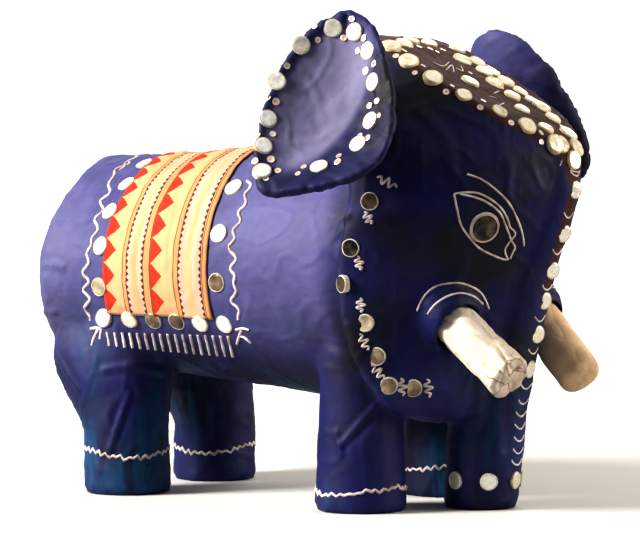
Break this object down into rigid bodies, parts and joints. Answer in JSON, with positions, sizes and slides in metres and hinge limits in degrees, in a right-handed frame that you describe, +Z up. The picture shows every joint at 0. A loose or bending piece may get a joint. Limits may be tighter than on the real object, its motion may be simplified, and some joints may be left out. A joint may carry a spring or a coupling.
{
  "type": "papier-mache elephant",
  "caption": "Standing papier-mache elephant ornament with scooped ears, stub tusks, a trunk that reaches the ground, a printed saddle cloth and glued round mirrors.",
  "frame": {"origin": "on the ground, under the middle of the elephant's box", "axes": "+X is the way the elephant faces, +Y its left side, +Z up"},
  "size_m": [0.6203, 0.5396, 0.5167],
  "materials": {
    "painted_paper": "satin",
    "tusk_paper": "matte",
    "saddle_cloth": "matte",
    "mirror_glass": "polished"
  },
  "bodies": {
    "root": {"body": "painted_paper", "mirror_eye_left": "mirror_glass", "mirror_eye_right": "mirror_glass", "mirror_face_left_01": "mirror_glass", "mirror_face_left_02": "mirror_glass", "mirror_face_left_03": "mirror_glass", "mirror_face_left_04": "mirror_glass", "mirror_face_left_05": "mirror_glass", "mirror_face_left_06": "mirror_glass", "mirror_face_left_07": "mirror_glass", "mirror_face_right_01": "mirror_glass", "mirror_face_right_02": "mirror_glass", "mirror_face_right_03": "mirror_glass", "mirror_face_right_04": "mirror_glass", "mirror_face_right_05": "mirror_glass", "mirror_face_right_06": "mirror_glass", "mirror_face_right_07": "mirror_glass", "mirror_saddle_left_01": "mirror_glass", "mirror_saddle_left_02": "mirror_glass", "mirror_saddle_left_03": "mirror_glass", "mirror_saddle_left_04": "mirror_glass", "mirror_saddle_left_05": "mirror_glass", "mirror_saddle_left_06": "mirror_glass", "mirror_saddle_left_07": "mirror_glass", "mirror_saddle_left_08": "mirror_glass", "mirror_saddle_left_09": "mirror_glass", "mirror_saddle_left_10": "mirror_glass", "mirror_saddle_left_11": "mirror_glass", "mirror_saddle_left_12": "mirror_glass", "mirror_saddle_left_13": "mirror_glass", "mirror_saddle_left_14": "mirror_glass", "mirror_saddle_right_01": "mirror_glass", "mirror_saddle_right_02": "mirror_glass", "mirror_saddle_right_03": "mirror_glass", "mirror_saddle_right_04": "mirror_glass", "mirror_saddle_right_05": "mirror_glass", "mirror_saddle_right_06": "mirror_glass", "mirror_saddle_right_07": "mirror_glass", "mirror_saddle_right_08": "mirror_glass", "mirror_saddle_right_09": "mirror_glass", "mirror_saddle_right_10": "mirror_glass", "mirror_saddle_right_11": "mirror_glass", "mirror_saddle_right_12": "mirror_glass", "mirror_saddle_right_13": "mirror_glass", "mirror_saddle_right_14": "mirror_glass", "mirror_trunk_01": "mirror_glass", "mirror_trunk_02": "mirror_glass", "mirror_trunk_03": "mirror_glass", "mirror_trunk_04": "mirror_glass", "mirror_trunk_05": "mirror_glass", "mirror_trunk_06": "mirror_glass", "mirror_trunk_foot_01": "mirror_glass", "mirror_trunk_foot_02": "mirror_glass", "mirror_trunk_foot_03": "mirror_glass", "mirror_trunk_foot_04": "mirror_glass", "mirror_trunk_foot_05": "mirror_glass", "saddle_cloth": "saddle_cloth", "tusk_left": "tusk_paper", "tusk_right": "tusk_paper"}
  },
  "joints": []
}
